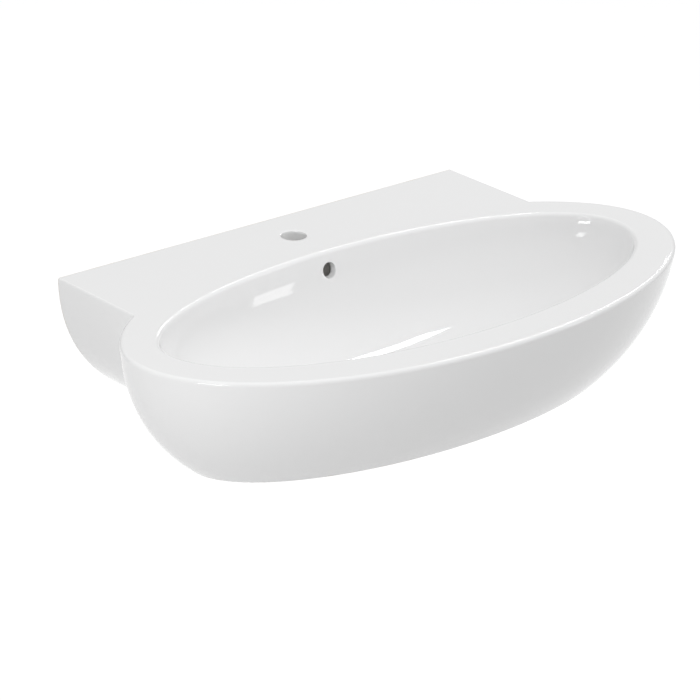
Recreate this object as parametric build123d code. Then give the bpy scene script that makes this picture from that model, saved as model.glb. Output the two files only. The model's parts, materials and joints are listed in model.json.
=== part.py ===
from build123d import *
import math
import os

# Wall-hung washbasin with its waste and wall fixings, in millimetres, +Z up.
# The wall is the plane y = 0 and the room is towards -Y.
# Origin: midway between the two wall fixings, in the wall plane.

# Basin outside, seen from above
rim_half_width = 425.0
rim_front = 233.5
rim_rear = 220.5
rim_centre_from_wall = 298.5
shelf_half_width = 334.0

# Skirt and shelf sides, which curve in to a flat base
basin_height = 168.5
knee_depth = 105.0
knee_half_width = 419.3
knee_front = 203.0
knee_rear = 218.0
knee_shelf = 333.5
base_half_width = 338.5
base_front = 142.5
base_rear = 179.5
base_shelf = 246.0

# Edge rounding of the ceramic
rim_edge_radius = 4.5
shelf_edge_radius = 3.0
base_edge_radius = 1.5
opening_edge_radius = 6.0
hole_edge_radius = 1.0

# Bowl: steep at the rim and rounded below, with its own front and rear reach
bowl_half_width = 372.5
bowl_front = 177.5
bowl_rear = 153.0
bowl_centre_from_wall = 293.0
bowl_depth = 120.0
bowl_wall_fullness = 0.6
bowl_floor_fullness = 0.5

# Ceramic thickness
skirt_wall = 11.0
back_wall = 12.0
shelf_thickness = 13.0
bowl_wall = 10.0

# Tap hole
tap_hole_radius = 17.5
tap_hole_from_wall = 68.0

# Overflow: a round hole high in the rear of the bowl, and a channel under the bowl to the drain
overflow_hole_radius = 10.4
overflow_hole_depth = 26.5
channel_half_width = 17.0
channel_gap = 14.0
channel_wall = 8.0

# Drain
drain_bore_radius = 22.5
drain_boss_radius = 36.0
drain_boss_depth = 160.0
recess_radius = 33.5
recess_depth = 3.5

# Wall fixings
fixing_half_spacing = 140.0
fixing_drop = 75.0
fixing_hole_radius = 9.0
fixing_pad_radius = 25.0
fixing_pad_thickness = 6.0
bolt_radius = 5.0
bolt_reach = 46.0
bolt_end_bevel = 1.0
screw_radius = 3.9
screw_length = 60.0
screw_tip_radius = 0.8
screw_tip_length = 8.0
sleeve_flange_radius = 15.0
sleeve_flange_thickness = 3.0
sleeve_length = 14.0
washer_radius = 14.0
washer_thickness = 2.5
washer_edge_bevel = 0.4
nut_across_flats = 17.0
nut_thickness = 8.0
nut_bevel = 1.0
plug_radius = 7.0
plug_grip_radius = 6.8
plug_length = 75.0
plug_setback = 1.0
plug_collar_length = 14.0
plug_tip_length = 8.0
plug_tip_bevel = 2.0
plug_slit_width = 1.2
plug_groove_count = 8
plug_groove_depth = 0.6
plug_groove_width = 2.4

# Waste body, with the G 1 1/4 thread that a trap screws on to
flange_radius = 31.5
flange_thickness = 3.0
flange_edge_radius = 1.2
thread_radius = 20.95
waste_bore_radius = 17.5
waste_mouth_bevel = 2.5
waste_length = 85.0
waste_end_bevel = 1.0
thread_groove_width = 1.5
thread_groove_depth = 0.8
thread_below_nut = 1.0
window_count = 4
window_width = 18.0
window_height = 13.0
window_drop = 10.5
spider_drop = 31.0
spider_thickness = 6.0
spoke_width = 4.0
spoke_count = 3
hub_radius = 8.0
hub_bore_radius = 4.0

# Seals and nut of the waste
flange_gasket_thickness = 1.5
flange_gasket_radius = 30.0
under_gasket_radius = 30.0
under_gasket_thickness = 6.0
under_gasket_nose = 4.0
slip_washer_radius = 30.5
slip_washer_thickness = 2.0
back_nut_across_flats = 55.0
back_nut_thickness = 9.0
back_nut_bevel = 1.5

# Push cartridge, and the plug that it lifts
plug_travel = 9.0
barrel_radius = 8.0
barrel_bore_radius = 6.6
barrel_floor = 2.0
barrel_height = 24.0
barrel_stud_length = 10.0
ring_depth = 1.6
ring_thickness = 1.0
ring_width = 2.0
ring_gap = 3.0
ring_groove_depth = 0.5
collar_height = 5.0
rod_radius = 4.0
rod_tip_radius = 3.0
rod_tip_length = 6.0
spring_wire_radius = 0.4
spring_coil_radius = 5.4
spring_turns = 5
cap_radius = 31.0
cap_edge_height = 1.4
cap_edge_radius = 0.6
cap_crown_height = 4.0
cap_hub_radius = 7.0
cap_hub_height = 7.5
seal_thickness = 2.4
seal_outer_radius = 26.0
seal_inner_radius = 19.0
seal_groove_depth = 0.8

# Clearances
thread_clearance = 0.05
running_clearance = 0.06
seat_clearance = 0.1
bore_clearance = 0.3

# How far a cutting solid runs past the face that it opens
overrun = 10.0

# How near an edge lies to the curve that it is looked up by
edge_match = 0.01

# Sections in the lofted skirt
skirt_steps = 8

# Levels and places that follow from the sizes above
rim_z = fixing_drop
base_z = rim_z - basin_height
bowl_floor_z = rim_z - bowl_depth
boss_z = rim_z - drain_boss_depth
drain_y = -bowl_centre_from_wall
seat_z = bowl_floor_z - recess_depth
flange_bottom_z = seat_z + flange_gasket_thickness
flange_top_z = flange_bottom_z + flange_thickness
waste_end_z = flange_top_z - waste_length
spider_top_z = flange_top_z - spider_drop
gasket_bottom_z = boss_z - under_gasket_thickness
slip_bottom_z = gasket_bottom_z - slip_washer_thickness
nut_bottom_z = slip_bottom_z - back_nut_thickness
groove_top_z = nut_bottom_z - thread_below_nut
groove_bottom_z = groove_top_z - thread_groove_width
barrel_top_z = spider_top_z + barrel_height
spring_floor_z = spider_top_z + barrel_floor
ring_bottom_z = barrel_top_z - ring_depth - ring_thickness
collar_top_z = ring_bottom_z - seat_clearance
collar_bottom_z = collar_top_z - collar_height
cap_under_z = flange_top_z + seat_clearance + seal_thickness + plug_travel
hub_bottom_z = cap_under_z - cap_hub_height
pad_y = -back_wall - fixing_pad_thickness
washer_y = pad_y - sleeve_flange_thickness
nut_y = washer_y - washer_thickness
fixing_places = {"left": -fixing_half_spacing, "right": fixing_half_spacing}


# Basic solids

def rod(radius, low_z, high_z):
    """Upright cylinder on the drain axis."""
    return Pos(0, drain_y, (low_z + high_z) / 2) * Cylinder(radius, high_z - low_z)


def pipe(outer, inner, low_z, high_z):
    """Upright tube on the drain axis."""
    return rod(outer, low_z, high_z) - rod(inner, low_z - overrun, high_z + overrun)


def wall_rod(radius, near_y, far_y):
    """Cylinder along Y through the origin's height, from the room side to the wall side."""
    return Pos(0, (near_y + far_y) / 2, 0) * Rot(90, 0, 0) * Cylinder(radius, far_y - near_y)


def block(x_range, y_range, z_range):
    """Box between two limits on each axis."""
    ranges = (x_range, y_range, z_range)
    middle = [(low + high) / 2 for low, high in ranges]
    return Pos(*middle) * Box(*[high - low for low, high in ranges])


def hex_prism(across_flats, bore_radius, thickness, bevel):
    """Hexagon nut from z = 0 up, with bevelled corners."""
    corner_radius = across_flats / 2 / math.cos(math.radians(30))
    corners = Pos(0, 0, thickness / 2) * Cylinder(corner_radius, thickness)
    corners = chamfer(corners.edges().filter_by(GeomType.CIRCLE), bevel)
    flats = extrude(RegularPolygon(across_flats / 2, 6, major_radius=False), thickness)
    return (corners & flats) - Cylinder(bore_radius, 4 * thickness)


# Basin

def curved_in(top, knee, base, step):
    """Quadratic curve from the top size through its knee to the base size."""
    return (1 - step) ** 2 * top + 2 * step * (1 - step) * knee + step ** 2 * base


def oval_face(half_width, front, rear, z):
    """Two half ellipses that share their widest points."""
    rear_half = EllipticalCenterArc((0, 0), half_width, rear, 0, arc_size=180)
    front_half = EllipticalCenterArc((0, 0), half_width, front, 180, arc_size=180)
    return Pos(0, -rim_centre_from_wall, z) * make_face([rear_half, front_half])


def skirt_solid(inset):
    """Oval body that curves in from the rim to the flat base."""
    sections = []
    for index in range(skirt_steps + 1):
        step = index / skirt_steps
        sections.append(oval_face(
            curved_in(rim_half_width, knee_half_width, base_half_width, step) - inset,
            curved_in(rim_front, knee_front, base_front, step) - inset,
            curved_in(rim_rear, knee_rear, base_rear, step) - inset,
            rim_z - curved_in(0, knee_depth, basin_height, step),
        ))
    return loft(sections)


def shelf_solid(inset, from_wall):
    """Rear block whose curved-in sides run from the wall into the oval body."""
    sizes = ((shelf_half_width, rim_z), (knee_shelf, rim_z - knee_depth), (base_shelf, base_z))
    right = Bezier([(width - inset, z) for width, z in sizes])
    left = Bezier([(inset - width, z) for width, z in reversed(sizes)])
    outline = make_face([right, Line(right @ 1, left @ 0), left, Line(left @ 1, right @ 0)])
    start = Plane(origin=(0, -from_wall, 0), x_dir=(1, 0, 0), z_dir=(0, -1, 0))
    return extrude(start * outline, rim_centre_from_wall - from_wall)


def unit_bowl():
    """Bowl of radius 1 and depth 1, turned from a curve that is steep at the rim and level at the drain."""
    curve = Bezier((1, 0, 0), (1, 0, -bowl_wall_fullness), (bowl_floor_fullness, 0, -1), (0, 0, -1))
    axis_line = Line(curve @ 1, (0, 0, 0))
    return revolve(make_face([curve, axis_line, Line(axis_line @ 1, curve @ 0)]), Axis.Z)


def bowl_solid(offset):
    """Bowl at its real size, whose rear half is shorter than its front half."""
    halves = []
    for side, reach in ((1, bowl_rear), (-1, bowl_front)):
        half = unit_bowl() & Pos(0, side, -1) * Box(2, 2, 2)
        sizes = (bowl_half_width + offset, reach + offset, bowl_depth + offset)
        halves.append(scale(half, by=sizes))
    return Pos(0, drain_y, rim_z) * (halves[0] + halves[1])


def layer_under_bowl(near, far, half_width, top_z):
    """Space between two distances from the glaze, from the drain up the rear of the bowl."""
    layer = bowl_solid(far) - bowl_solid(near)
    return layer & block((-half_width, half_width), (drain_y, 0), (boss_z, top_z))


def outer_body():
    """Skirt and shelf as one closed body, with their rounded edges."""
    skirt = skirt_solid(0)
    skirt = fillet(skirt.edges().group_by(Axis.Z)[-1], rim_edge_radius)
    skirt = fillet(skirt.edges().group_by(Axis.Z)[0], base_edge_radius)
    shelf = shelf_solid(0, 0)
    shelf = fillet(shelf.edges().filter_by(Axis.Y).group_by(Axis.Z)[-1], shelf_edge_radius)
    shelf = fillet(shelf.edges().filter_by(Axis.Y).group_by(Axis.Z)[0], base_edge_radius)
    return skirt + shelf


def is_bowl_edge(edge):
    """True for an edge on the oval where the bowl meets the rim."""
    point = edge @ 0.5
    reach = bowl_rear if point.Y > drain_y else bowl_front
    share = math.hypot(point.X / bowl_half_width, (point.Y - drain_y) / reach)
    return abs(point.Z - rim_z) < edge_match and abs(share - 1) < edge_match


def is_overflow_mouth(edge):
    """True for the edge of the overflow hole on the bowl's side."""
    point = edge @ 0.5
    from_axis = math.hypot(point.X, point.Z - rim_z + overflow_hole_depth)
    return abs(from_axis - overflow_hole_radius) < edge_match and point.Y < drain_y + bowl_rear


def is_tap_edge(edge):
    """True for the edge of the tap hole on top of the shelf."""
    point = edge @ 0.5
    from_axis = math.hypot(point.X, point.Y + tap_hole_from_wall)
    return abs(from_axis - tap_hole_radius) < edge_match and abs(point.Z - rim_z) < edge_match


def with_bowl(body):
    """Body less its bowl, drain bore and waste seat, with the opening's edge rounded."""
    body -= bowl_solid(0)
    body -= rod(drain_bore_radius, base_z - overrun, rim_z)
    body -= rod(recess_radius, seat_z, rim_z)
    return fillet(body.edges().filter_by(is_bowl_edge), opening_edge_radius)


def with_overflow_hole(body):
    """Body less the round hole that leads from the bowl to the overflow channel."""
    channel_y = drain_y + bowl_rear + bowl_wall
    body -= Pos(0, 0, rim_z - overflow_hole_depth) * wall_rod(overflow_hole_radius, drain_y, channel_y)
    return fillet(body.edges().filter_by(is_overflow_mouth), hole_edge_radius)


def with_tap_hole(body):
    """Body less the hole for a single tap."""
    body -= Pos(0, -tap_hole_from_wall, rim_z) * Cylinder(tap_hole_radius, 4 * shelf_thickness)
    return fillet(body.edges().filter_by(is_tap_edge), hole_edge_radius)


def hollow_space():
    """Open underside of the basin, round the bowl, the overflow channel, the drain and the pads."""
    space = skirt_solid(skirt_wall) + shelf_solid(skirt_wall, back_wall)
    far = 2 * rim_half_width
    space &= block((-far, far), (-far, far), (base_z, rim_z - shelf_thickness))
    space -= bowl_solid(bowl_wall)
    cover_reach = bowl_wall + channel_gap + channel_wall
    space -= layer_under_bowl(0, cover_reach, channel_half_width + channel_wall, rim_z)
    space -= rod(drain_boss_radius, boss_z, bowl_floor_z)
    for x in fixing_places.values():
        space -= Pos(x, 0, 0) * wall_rod(fixing_pad_radius, pad_y, 0)
    return space


def basin_body():
    """The fired piece, open below, with its overflow channel and fixing holes."""
    body = with_tap_hole(with_overflow_hole(with_bowl(outer_body())))
    body -= hollow_space()
    top_z = rim_z - shelf_thickness
    body -= layer_under_bowl(bowl_wall, bowl_wall + channel_gap, channel_half_width, top_z)
    for x in fixing_places.values():
        body -= Pos(x, 0, 0) * wall_rod(fixing_hole_radius, pad_y - overrun, overrun)
    return body


# Waste

def overflow_windows():
    """Cutters for the windows that the overflow channel drains through, one facing the wall."""
    top_z = flange_top_z - window_drop
    window = block(
        (0, 2 * thread_radius), (-window_width / 2, window_width / 2), (top_z - window_height, top_z)
    )
    return [
        Pos(0, drain_y, 0) * Rot(0, 0, 90 + 360 / window_count * index) * window
        for index in range(window_count)
    ]


def spider():
    """Hub on spokes that run into the waste body's wall."""
    low_z = spider_top_z - spider_thickness
    reach = (waste_bore_radius + thread_radius) / 2
    spoke = block((0, reach), (-spoke_width / 2, spoke_width / 2), (low_z, spider_top_z))
    hub = rod(hub_radius, low_z, spider_top_z)
    for index in range(spoke_count):
        hub += Pos(0, drain_y, 0) * Rot(0, 0, 90 + 360 / spoke_count * index) * spoke
    return hub - rod(hub_bore_radius, low_z - overrun, spider_top_z + overrun)


def waste_body():
    """Flanged tube with overflow windows, and the spider that carries the cartridge.

    A groove below the back nut divides its thread from the trap's.
    """
    tube = rod(thread_radius, waste_end_z, flange_bottom_z)
    tube = chamfer(tube.edges().group_by(Axis.Z)[0], waste_end_bevel)
    groove_radius = thread_radius - thread_groove_depth
    tube -= pipe(thread_radius + overrun, groove_radius, groove_bottom_z, groove_top_z)
    flange = rod(flange_radius, flange_bottom_z, flange_top_z)
    flange = fillet(flange.edges().group_by(Axis.Z)[-1], flange_edge_radius)
    body = tube + flange - rod(waste_bore_radius, waste_end_z - overrun, flange_top_z + overrun)
    mouth = body.edges().group_by(Axis.Z)[-1].sort_by(SortBy.LENGTH)[0]
    return chamfer(mouth, waste_mouth_bevel) - overflow_windows() + spider()


def flange_gasket():
    """Flat rubber ring between the flange and its seat."""
    return pipe(flange_gasket_radius, thread_radius + bore_clearance, seat_z, flange_bottom_z)


def under_gasket():
    """Rubber washer below the basin, with a nose that centres the waste in its bore."""
    nose_z = boss_z + under_gasket_nose
    washer = rod(under_gasket_radius, gasket_bottom_z, boss_z)
    nose = rod(drain_bore_radius - seat_clearance, boss_z, nose_z)
    return washer + nose - rod(thread_radius + thread_clearance, gasket_bottom_z - overrun, nose_z + overrun)


def slip_washer():
    """Thin hard ring that lets the back nut turn without dragging the rubber."""
    return pipe(slip_washer_radius, thread_radius + bore_clearance, slip_bottom_z, gasket_bottom_z)


def back_nut():
    """Large hexagon nut that clamps the waste to the basin."""
    bore = thread_radius + thread_clearance
    nut = hex_prism(back_nut_across_flats, bore, back_nut_thickness, back_nut_bevel)
    return Pos(0, drain_y, nut_bottom_z) * nut


def cartridge_barrel():
    """Cup that guides the plunger, with a stud that screws into the spider."""
    cup = rod(barrel_radius, spider_top_z, barrel_top_z)
    stud = rod(hub_bore_radius - thread_clearance, spider_top_z - barrel_stud_length, spider_top_z)
    bore = rod(barrel_bore_radius, spring_floor_z, barrel_top_z + overrun)
    groove_radius = barrel_bore_radius + ring_groove_depth
    groove = rod(groove_radius, ring_bottom_z, ring_bottom_z + ring_thickness)
    return cup + stud - bore - groove


def retaining_ring():
    """Open spring ring in the barrel's groove, which stops the plunger's collar."""
    outer = barrel_bore_radius + ring_groove_depth
    top_z = ring_bottom_z + ring_thickness
    opening = block((0, 2 * outer), (-ring_gap / 2, ring_gap / 2), (ring_bottom_z - overrun, top_z + overrun))
    return pipe(outer, outer - ring_width, ring_bottom_z, top_z) - Pos(0, drain_y, 0) * opening


def plunger():
    """Collar that slides in the barrel, its rod, and the tip that screws into the cap."""
    collar = rod(barrel_bore_radius - running_clearance, collar_bottom_z, collar_top_z)
    tip = rod(rod_tip_radius, hub_bottom_z, hub_bottom_z + rod_tip_length)
    return collar + rod(rod_radius, collar_top_z, hub_bottom_z) + tip


def plug_cap():
    """Domed cap with a hub for the plunger and a groove for its seal."""
    edge_z = cap_under_z + cap_edge_height
    crown_z = cap_under_z + cap_crown_height
    dome = ThreePointArc((-cap_radius, edge_z), (0, crown_z), (cap_radius, edge_z))
    sides = Polyline((cap_radius, edge_z), (cap_radius, cap_under_z), (-cap_radius, cap_under_z),
                     (-cap_radius, edge_z))
    profile = split(Plane.XZ * make_face([dome, sides]), bisect_by=Plane.YZ, keep=Keep.TOP)
    disc = Pos(0, drain_y, 0) * revolve(profile, Axis.Z)
    disc = fillet(disc.edges().filter_by(GeomType.CIRCLE), cap_edge_radius)
    hub = rod(cap_hub_radius, hub_bottom_z, cap_under_z)
    groove = pipe(seal_outer_radius, seal_inner_radius, cap_under_z, cap_under_z + seal_groove_depth)
    thread_end_z = hub_bottom_z + rod_tip_length + bore_clearance
    thread = rod(rod_tip_radius + thread_clearance, hub_bottom_z - overrun, thread_end_z)
    return disc + hub - groove - thread


def plug_seal():
    """Rubber ring in the groove of the cap."""
    low_z = cap_under_z - seal_thickness
    return pipe(seal_outer_radius, seal_inner_radius, low_z, cap_under_z + seal_groove_depth)


def coil_point(turn):
    """Point on the spring's centre line after a number of turns."""
    low_z = spring_floor_z + spring_wire_radius
    rise = (collar_bottom_z - spring_wire_radius - low_z) / spring_turns
    angle = 2 * math.pi * turn
    x = spring_coil_radius * math.cos(angle)
    y = drain_y + spring_coil_radius * math.sin(angle)
    return Vector(x, y, low_z + rise * turn)


def coil_direction(turn):
    """Direction of the spring's wire after a number of turns."""
    step = 1e-4
    return (coil_point(turn + step) - coil_point(turn - step)).normalized()


def biarc(start, start_direction, end, end_direction):
    """Two arcs that join smoothly and leave both ends in their directions."""
    chord = end - start
    both = start_direction + end_direction
    spread = 2 * (1 - start_direction.dot(end_direction))
    along = chord.dot(both)
    reach = (math.sqrt(along ** 2 + spread * chord.dot(chord)) - along) / spread
    joint = (start + start_direction * reach + end - end_direction * reach) * 0.5
    first = TangentArc(start, joint, tangent=start_direction)
    return [first, TangentArc(joint, end, tangent=first % 1)]


def plunger_spring():
    """Coil spring between the barrel's floor and the plunger's collar."""
    arcs = []
    for quarter in range(4 * spring_turns):
        turn = quarter / 4
        later = turn + 1 / 4
        arcs += biarc(coil_point(turn), coil_direction(turn), coil_point(later), coil_direction(later))
    path = Wire(arcs)
    section = Plane(origin=path @ 0, z_dir=path % 0) * Circle(spring_wire_radius)
    return sweep(section, path=path)


def spring_self_gap():
    """Least gap between one turn of the spring and the next, from points on its centre line."""
    points_per_turn = 72
    count = points_per_turn * (spring_turns - 1)
    distances = [
        abs(coil_point((first + later) / points_per_turn) - coil_point(first / points_per_turn))
        for first in range(count) for later in range(points_per_turn // 2, points_per_turn + 1)
    ]
    return min(distances) - 2 * spring_wire_radius


# Wall fixings, each made on the origin and then moved to its side

def hanger_bolt():
    """Bolt with a machine thread for the nut and a wood screw for the wall plug."""
    shank = wall_rod(bolt_radius, -bolt_reach, 0)
    shank = chamfer(shank.edges().group_by(Axis.Y)[0], bolt_end_bevel)
    screw = wall_rod(screw_radius, 0, screw_length)
    tip = Cone(screw_radius, screw_tip_radius, screw_tip_length)
    return shank + screw + Pos(0, screw_length + screw_tip_length / 2, 0) * Rot(-90, 0, 0) * tip


def wall_plug():
    """Slit nylon plug in the wall, grooved behind its plain collar."""
    end_y = plug_setback + plug_length
    grip_start = plug_setback + plug_collar_length
    grip_end = end_y - plug_tip_length
    plug = wall_rod(plug_grip_radius, plug_setback, end_y)
    plug = chamfer(plug.edges().group_by(Axis.Y)[-1], plug_tip_bevel)
    plug += wall_rod(plug_radius, plug_setback, grip_start)
    screw_end = screw_length + screw_tip_length + bore_clearance
    plug -= wall_rod(screw_radius + thread_clearance, plug_setback - overrun, screw_end)
    plug -= block((-plug_radius, plug_radius), (grip_start, grip_end), (-plug_slit_width / 2, plug_slit_width / 2))
    groove = block(
        (-plug_groove_width / 2, plug_groove_width / 2), (grip_start, grip_end),
        (plug_grip_radius - plug_groove_depth, 2 * plug_radius),
    )
    turn = 360 / plug_groove_count
    return plug - [Rot(0, turn * (index + 0.5), 0) * groove for index in range(plug_groove_count)]


def fixing_sleeve():
    """Flanged nylon bush between the bolt and the hole in the ceramic."""
    flange = wall_rod(sleeve_flange_radius, washer_y, pad_y)
    shank = wall_rod(fixing_hole_radius - seat_clearance, pad_y, pad_y + sleeve_length)
    return flange + shank - wall_rod(bolt_radius + bore_clearance, washer_y - overrun, overrun)


def fixing_washer():
    """Flat steel washer."""
    washer = wall_rod(washer_radius, nut_y, washer_y)
    washer = chamfer(washer.edges().filter_by(GeomType.CIRCLE), washer_edge_bevel)
    return washer - wall_rod(bolt_radius + bore_clearance, nut_y - overrun, overrun)


def fixing_nut():
    """Hexagon nut that pulls the basin to the wall."""
    nut = hex_prism(nut_across_flats, bolt_radius + thread_clearance, nut_thickness, nut_bevel)
    return Pos(0, nut_y, 0) * Rot(90, 0, 0) * nut


def all_nodes():
    """Every separate piece by its name."""
    pieces = [
        basin_body, waste_body, flange_gasket, under_gasket, slip_washer, back_nut, cartridge_barrel,
        retaining_ring, plunger, plunger_spring, plug_cap, plug_seal,
    ]
    nodes = {piece.__name__: piece() for piece in pieces}
    for piece in (hanger_bolt, wall_plug, fixing_sleeve, fixing_washer, fixing_nut):
        for side, x in fixing_places.items():
            nodes[f"{piece.__name__}_{side}"] = Pos(x, 0, 0) * piece()
    return nodes


if __name__ == "__main__":
    os.makedirs("parts", exist_ok=True)
    for name, solid in all_nodes().items():
        export_step(solid, f"parts/{name}.step")
    print(f"least gap between turns of the spring: {spring_self_gap():.2f} mm")
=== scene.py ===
import json
import math

import bmesh
import bpy
import numpy as np
from mathutils import Matrix, Vector


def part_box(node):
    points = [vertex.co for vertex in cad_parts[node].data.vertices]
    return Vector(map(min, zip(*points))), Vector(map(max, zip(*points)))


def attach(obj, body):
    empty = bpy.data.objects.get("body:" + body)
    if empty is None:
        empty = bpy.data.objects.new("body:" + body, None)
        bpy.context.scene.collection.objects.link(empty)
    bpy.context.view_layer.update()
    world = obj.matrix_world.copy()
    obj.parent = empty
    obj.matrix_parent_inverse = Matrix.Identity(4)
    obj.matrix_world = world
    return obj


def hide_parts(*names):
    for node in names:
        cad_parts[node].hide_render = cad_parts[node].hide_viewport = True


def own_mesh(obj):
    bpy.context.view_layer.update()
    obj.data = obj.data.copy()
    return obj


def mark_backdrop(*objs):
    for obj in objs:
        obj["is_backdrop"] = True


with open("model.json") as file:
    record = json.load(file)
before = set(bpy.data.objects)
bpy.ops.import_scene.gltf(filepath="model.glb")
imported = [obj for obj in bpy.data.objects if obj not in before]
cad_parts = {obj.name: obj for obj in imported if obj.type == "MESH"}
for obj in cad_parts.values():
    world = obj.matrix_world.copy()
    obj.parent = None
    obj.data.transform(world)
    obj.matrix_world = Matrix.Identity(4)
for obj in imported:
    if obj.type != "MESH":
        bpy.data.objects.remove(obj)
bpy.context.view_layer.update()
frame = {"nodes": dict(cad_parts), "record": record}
print("frame loaded:", len(frame["nodes"]), "nodes")

mm = 0.001                                   # everything below is worked out in millimetres
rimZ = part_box("basin_body")[1][2] / mm       # top of the ceramic
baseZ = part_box("basin_body")[0][2] / mm      # flat foot of the skirt
drainY = -293.0                              # the drain's axis, from the wall
sharpAngle = math.radians(32)                # edges that turn more than this stay sharp


# meshes from arrays

# A mesh in metres from points in millimetres, smooth but for its sharp edges.
def newPiece(name, verts, faces):
    mesh = bpy.data.meshes.new(name)
    mesh.from_pydata(np.asarray(verts) * mm, [], faces)
    tidy = bmesh.new()
    tidy.from_mesh(mesh)
    bmesh.ops.recalc_face_normals(tidy, faces=tidy.faces)
    tidy.to_mesh(mesh)
    tidy.free()
    mesh.polygons.foreach_set("use_smooth", np.ones(len(mesh.polygons), dtype=bool))
    mesh.set_sharp_from_angle(angle=sharpAngle)
    piece = bpy.data.objects.new(name, mesh)
    bpy.context.scene.collection.objects.link(piece)
    return piece


# Quads of a grid of points numbered row by row.
def gridFaces(rows, columns, first=0, closedRows=False, closedColumns=True):
    rowEnd = rows if closedRows else rows - 1
    columnEnd = columns if closedColumns else columns - 1
    row, column = np.meshgrid(np.arange(rowEnd), np.arange(columnEnd), indexing="ij")
    nextRow = (row + 1) % rows
    nextColumn = (column + 1) % columns
    corners = (row * columns + column, row * columns + nextColumn,
               nextRow * columns + nextColumn, nextRow * columns + column)
    return first + np.stack([corner.ravel() for corner in corners], axis=1)


# Triangles between two rings of points: each edge takes the last point passed on the other ring.
def zipRings(outer, outerAngles, inner, innerAngles):
    order = np.argsort(outerAngles)
    outer, outerAngles = outer[order], outerAngles[order]
    order = np.argsort(innerAngles)
    inner, innerAngles = inner[order], innerAngles[order]
    toInner = np.searchsorted(innerAngles, np.roll(outerAngles, -1), side="left") - 1
    toOuter = np.searchsorted(outerAngles, np.roll(innerAngles, -1), side="right") - 1
    along = np.stack([outer, np.roll(outer, -1), inner[toInner]], axis=1)
    across = np.stack([inner, outer[toOuter], np.roll(inner, -1)], axis=1)
    return np.concatenate([along, across])


# Points from their three coordinates, spread to a common shape.
def xyz(x, y, z):
    return np.stack(np.broadcast_arrays(x, y, z), axis=-1)


# Points round the drain's upright axis: radius times cosine, radius times sine, and the height.
def onDrain(radius, turn, along):
    return xyz(radius * np.cos(turn), drainY + radius * np.sin(turn), along)


# Points round a wall fixing's level axis: radius times cosine across, radius times sine up, and the distance
# from the wall.
def onFixing(centreX):
    return lambda radius, turn, along: xyz(centreX + radius * np.cos(turn), along, radius * np.sin(turn))


# the basin's ceramic

basin = {
    "rim": (425.0, 233.5, 220.5),            # half width, front and rear reach at the top
    "knee": (419.3, 203.0, 218.0),           # pulls the skirt's curve out
    "base": (338.5, 142.5, 179.5),
    "shelf": (334.0, 333.5, 246.0),          # half width of the rear block: top, knee, base
    "kneeDepth": 105.0,
    "centreY": -298.5,
    "rimRound": 4.5, "shelfRound": 3.0, "baseRound": 0.9,
    "bowl": (372.5, 177.5, 153.0),
    "bowlDepth": 120.0, "bowlWallFullness": 0.6, "bowlFloorFullness": 0.5,
    "openingRound": 6.0,
    "skirtWall": 11.0, "backWall": 12.0, "shelfThickness": 13.0, "bowlWall": 10.0,
    "tapRadius": 17.5, "tapY": -68.0, "holeRound": 1.0,
    "overflowRadius": 10.4, "overflowDepth": 26.5,
    "channelHalf": 17.0, "channelGap": 14.0, "channelWall": 8.0,
    "boreRadius": 22.5, "bossRadius": 36.0, "bossZ": -85.0, "recessRadius": 33.5, "recessDepth": 3.5,
    "fixingX": 140.0, "fixingRadius": 9.0, "padRadius": 25.0, "padThickness": 6.0,
    "ovalColumns": 200, "sideColumns": 20, "backColumns": 124, "channelColumns": 16,
    "wallRows": 65, "floorRows": 6, "openingRows": 8, "skirtRows": 28, "hollowRows": 16, "channelRows": 90,
    "floorShare": 0.3,                       # share of the bowl's reach within which its rows turn to circles
    "channelEase": 1.8,                      # crowds the channel's rows towards its top
}
height = rimZ - baseZ
bowlFloorZ = rimZ - basin["bowlDepth"]
seatZ = bowlFloorZ - basin["recessDepth"]
ceilingZ = rimZ - basin["shelfThickness"]
overflowZ = rimZ - basin["overflowDepth"]


# Quadratic curve from the top size through its knee to the base size.
def curvedIn(sizes, step):
    top, knee, base = sizes
    return (1 - step) ** 2 * top + 2 * step * (1 - step) * knee + step ** 2 * base


stepTable = np.linspace(0, 1, 2001)
depthTable = curvedIn((0, basin["kneeDepth"], height), stepTable)


# Half width, front and rear reach of the skirt at a depth below the rim.
def ovalSizes(depth):
    step = np.interp(depth, depthTable, stepTable)
    return [curvedIn((basin["rim"][i], basin["knee"][i], basin["base"][i]), step) for i in range(3)]


# Point of an oval made of two half ellipses, and its outward normal.
def ovalPoint(angle, sizes, centreY):
    halfWidth, front, rear = sizes
    reach = np.where(np.sin(angle) >= 0, rear, front)
    point = np.stack([halfWidth * np.cos(angle), centreY + reach * np.sin(angle)], axis=-1)
    normal = np.stack([np.cos(angle) / halfWidth, np.sin(angle) / reach], axis=-1)
    return point, normal / np.linalg.norm(normal, axis=-1, keepdims=True)


# How far a rounded top edge lies inside its leaning wall, a circle's arc tangent to top and wall.
def roundedIn(depth, lean, radius):
    tangentDepth = radius * (1 + np.sin(lean))
    centre = -tangentDepth * np.tan(lean) - radius * np.cos(lean)
    arc = centre + np.sqrt(np.maximum(radius ** 2 - (radius - depth) ** 2, 0))
    return np.where(depth < tangentDepth, np.minimum(arc + depth * np.tan(lean), 0), 0)


# Points of the skirt's section at a depth, with the rounded rim taken off.
def skirtCurve(angle, depth, inset, roundRadius):
    sizes = [size - inset for size in ovalSizes(depth)]
    point, normal = ovalPoint(angle, sizes, basin["centreY"])
    if roundRadius == 0:
        return point
    lower, _ = ovalPoint(angle, ovalSizes(2 * roundRadius), basin["centreY"])
    upper, upperNormal = ovalPoint(angle, ovalSizes(0), basin["centreY"])
    lean = np.arctan(((upper - lower) * upperNormal).sum(axis=-1) / (2 * roundRadius))
    return point + normal * roundedIn(depth, lean, roundRadius)[..., None]


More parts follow.
